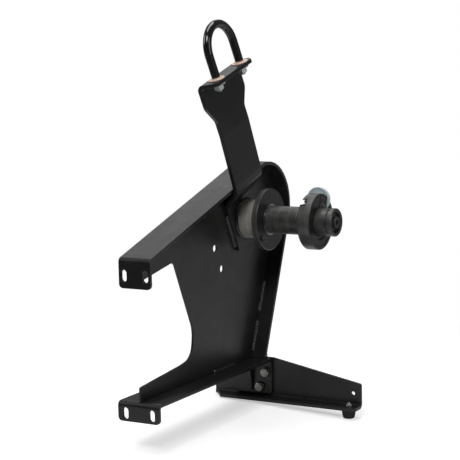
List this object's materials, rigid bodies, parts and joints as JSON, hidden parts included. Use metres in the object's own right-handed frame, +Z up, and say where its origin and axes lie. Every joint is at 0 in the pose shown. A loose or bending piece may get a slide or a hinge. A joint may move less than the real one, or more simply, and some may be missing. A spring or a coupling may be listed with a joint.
{
  "type": "bolt-on spindle bracket",
  "caption": "Black sheet-steel bracket with slotted bolt-on tabs, a bearing spindle with a sliding clamp collar, a cranked arm carrying a U-bolt, and an angle foot.",
  "frame": {"origin": "on the spindle axis, in the front face of the drive flange, where a spool or wheel would seat", "axes": "+X out along the spindle away from the frame, -Y towards the bolt-on tabs, +Z up"},
  "size_m": [0.247, 0.4026, 0.584],
  "materials": {
    "black_powder_coat": "semi-gloss black powder coat",
    "machined_steel": "bare turned steel, matt",
    "plain_steel": "plain steel",
    "zinc_plate": "bright zinc plate",
    "black_oxide_steel": "black oxide, oiled, satin",
    "black_sleeve": "glossy black plastic sleeve",
    "tan_plastic": "matt tan nylon",
    "cream_plastic": "matt cream nylon",
    "rubber": "matt black rubber"
  },
  "bodies": {
    "frame": {"web_plate": "black_powder_coat", "upper_band": "black_powder_coat", "lower_strip": "black_powder_coat", "end_gusset": "black_powder_coat", "frame_welds": "black_powder_coat", "hub_housing": "machined_steel", "hub_weld": "black_powder_coat", "bearing_outer_rings": "plain_steel", "bearing_seals": "rubber", "hub_circlips": "black_oxide_steel", "hanger_arm": "black_powder_coat", "arm_welds": "black_powder_coat", "u_bolt": "plain_steel", "u_bolt_sleeve": "black_sleeve", "upper_washers": "tan_plastic", "lower_washers": "cream_plastic", "u_bolt_nuts": "zinc_plate", "foot_angle": "black_powder_coat", "foot_bolts": "zinc_plate", "foot_bolt_washers": "zinc_plate", "foot_bolt_nuts": "zinc_plate", "rubber_foot": "rubber", "rubber_foot_washer": "plain_steel", "rubber_foot_screw": "plain_steel", "rubber_foot_nut": "plain_steel"},
    "spindle": {"spindle_shaft": "plain_steel", "bearing_inner_rings": "plain_steel", "bearing_spacer": "plain_steel", "rear_washer": "plain_steel", "rear_lock_nut": "plain_steel", "drive_flange": "black_oxide_steel", "core_sleeve": "black_oxide_steel", "sleeve_root_ring": "plain_steel", "drive_pin": "plain_steel", "end_ring": "black_oxide_steel", "end_washer": "black_oxide_steel", "end_screw": "black_oxide_steel"},
    "collar": {"clamp_collar": "black_oxide_steel", "clamp_nut": "zinc_plate"},
    "knob": {"clamp_screw": "zinc_plate", "clamp_knob": "zinc_plate"}
  },
  "joints": [
    {"name": "spindle_spin", "type": "hinge", "parent": "frame", "child": "spindle", "pos_m": [0, 0, 0], "axis": [1, 0, 0], "continuous": true},
    {"name": "collar_slide", "type": "slide", "parent": "spindle", "child": "collar", "axis": [1, 0, 0], "range_m": [-0.044, 0.15]},
    {"name": "clamp_knob_turn", "type": "hinge", "parent": "collar", "child": "knob", "pos_m": [0.0668, 0.0206, 0.03], "axis": [0, 1, 0], "continuous": true}
  ]
}
